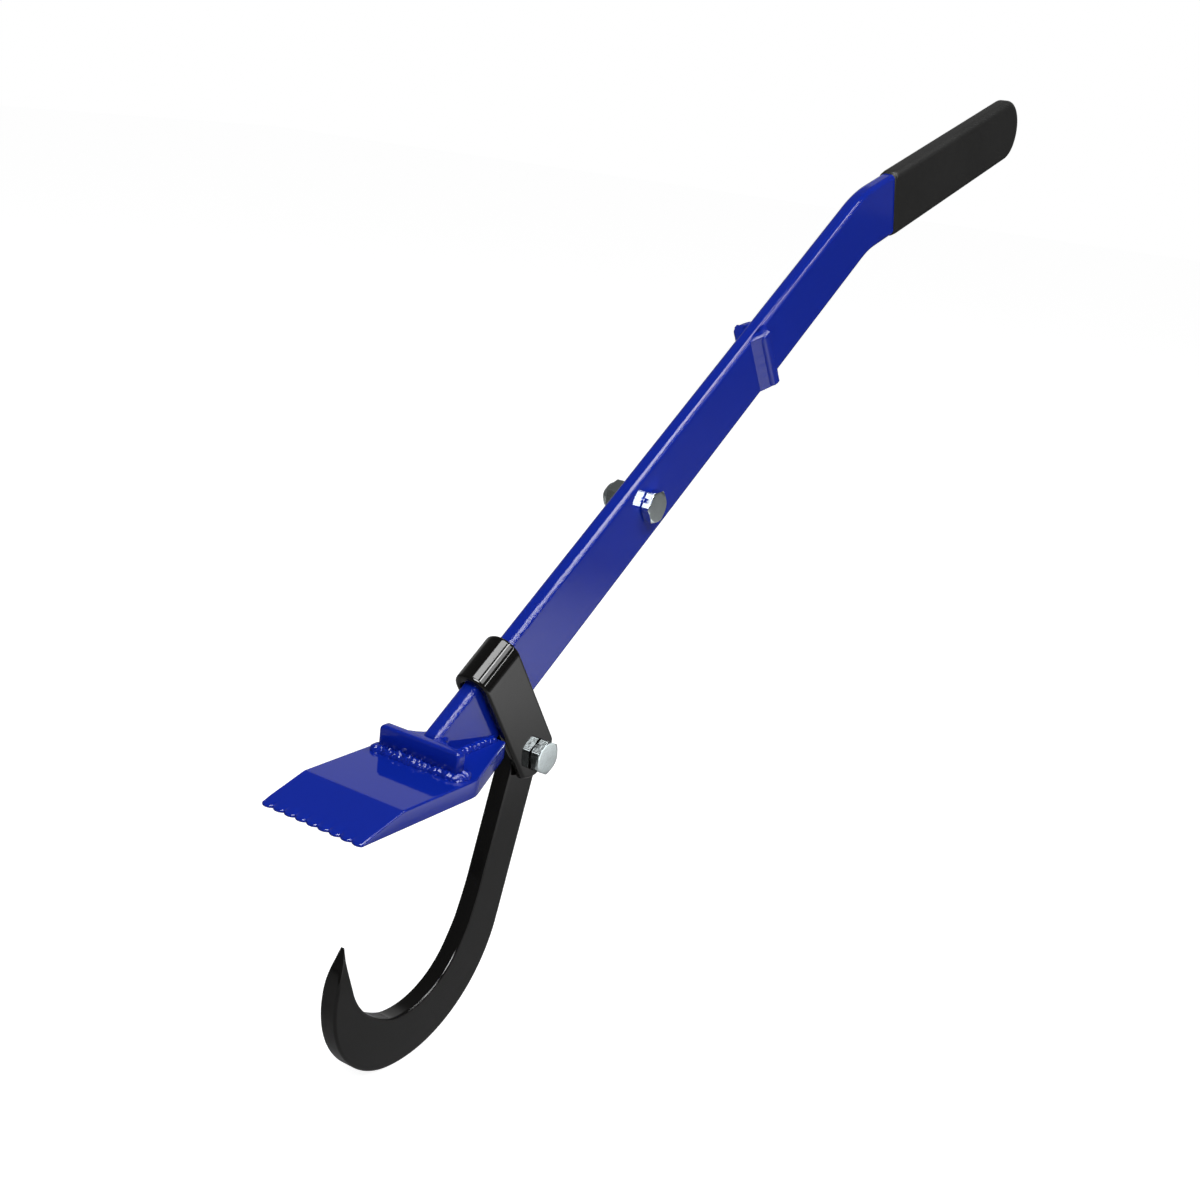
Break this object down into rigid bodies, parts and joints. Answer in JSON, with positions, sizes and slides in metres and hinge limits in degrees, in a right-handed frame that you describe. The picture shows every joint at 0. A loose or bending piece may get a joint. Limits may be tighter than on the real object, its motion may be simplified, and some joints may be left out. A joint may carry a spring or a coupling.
{
  "type": "felling lever",
  "caption": "Felling lever: toothed steel blade with a stop rib, bent flat-bar handle with a grip sleeve, and a cant hook that swings on a sliding collar.",
  "frame": {"origin": "middle of the blade's flat underside, between its toothed edge and the end of its tail", "axes": "+X from the toothed edge towards the handle, +Y across the blade towards the lock nuts' side, +Z out of the blade's top face"},
  "size_m": [0.708, 0.062, 0.511],
  "materials": {
    "blue_paint": "gloss",
    "black_paint": "gloss",
    "zinc": "zinc plated",
    "grip_rubber": "matte",
    "nylon": "matte"
  },
  "bodies": {
    "lever": {"blade_plate": "blue_paint", "stop_rib": "blue_paint", "lever_bar": "blue_paint", "lug_left": "blue_paint", "lug_right": "blue_paint", "grip_sleeve": "grip_rubber", "stop_bolt": "zinc", "stop_nut": "zinc", "stop_nut_insert": "nylon", "rib_weld": "blue_paint", "nose_weld": "blue_paint", "foot_weld_left": "blue_paint", "foot_weld_right": "blue_paint", "lug_weld_left": "blue_paint", "lug_weld_right": "blue_paint"},
    "collar": {"slide_collar": "black_paint", "pivot_bolt": "zinc", "pivot_nut": "zinc", "pivot_nut_insert": "nylon"},
    "hook": {"cant_hook": "black_paint"}
  },
  "joints": [
    {"name": "collar_slide", "type": "slide", "parent": "lever", "child": "collar", "axis": [0.8231, 0, 0.5678], "range_m": [0, 0.12]},
    {"name": "hook_swing", "type": "hinge", "parent": "collar", "child": "hook", "pos_m": [0.09772, 0, -0.00673], "axis": [0, 1, 0], "range_deg": [-148, 1]}
  ]
}
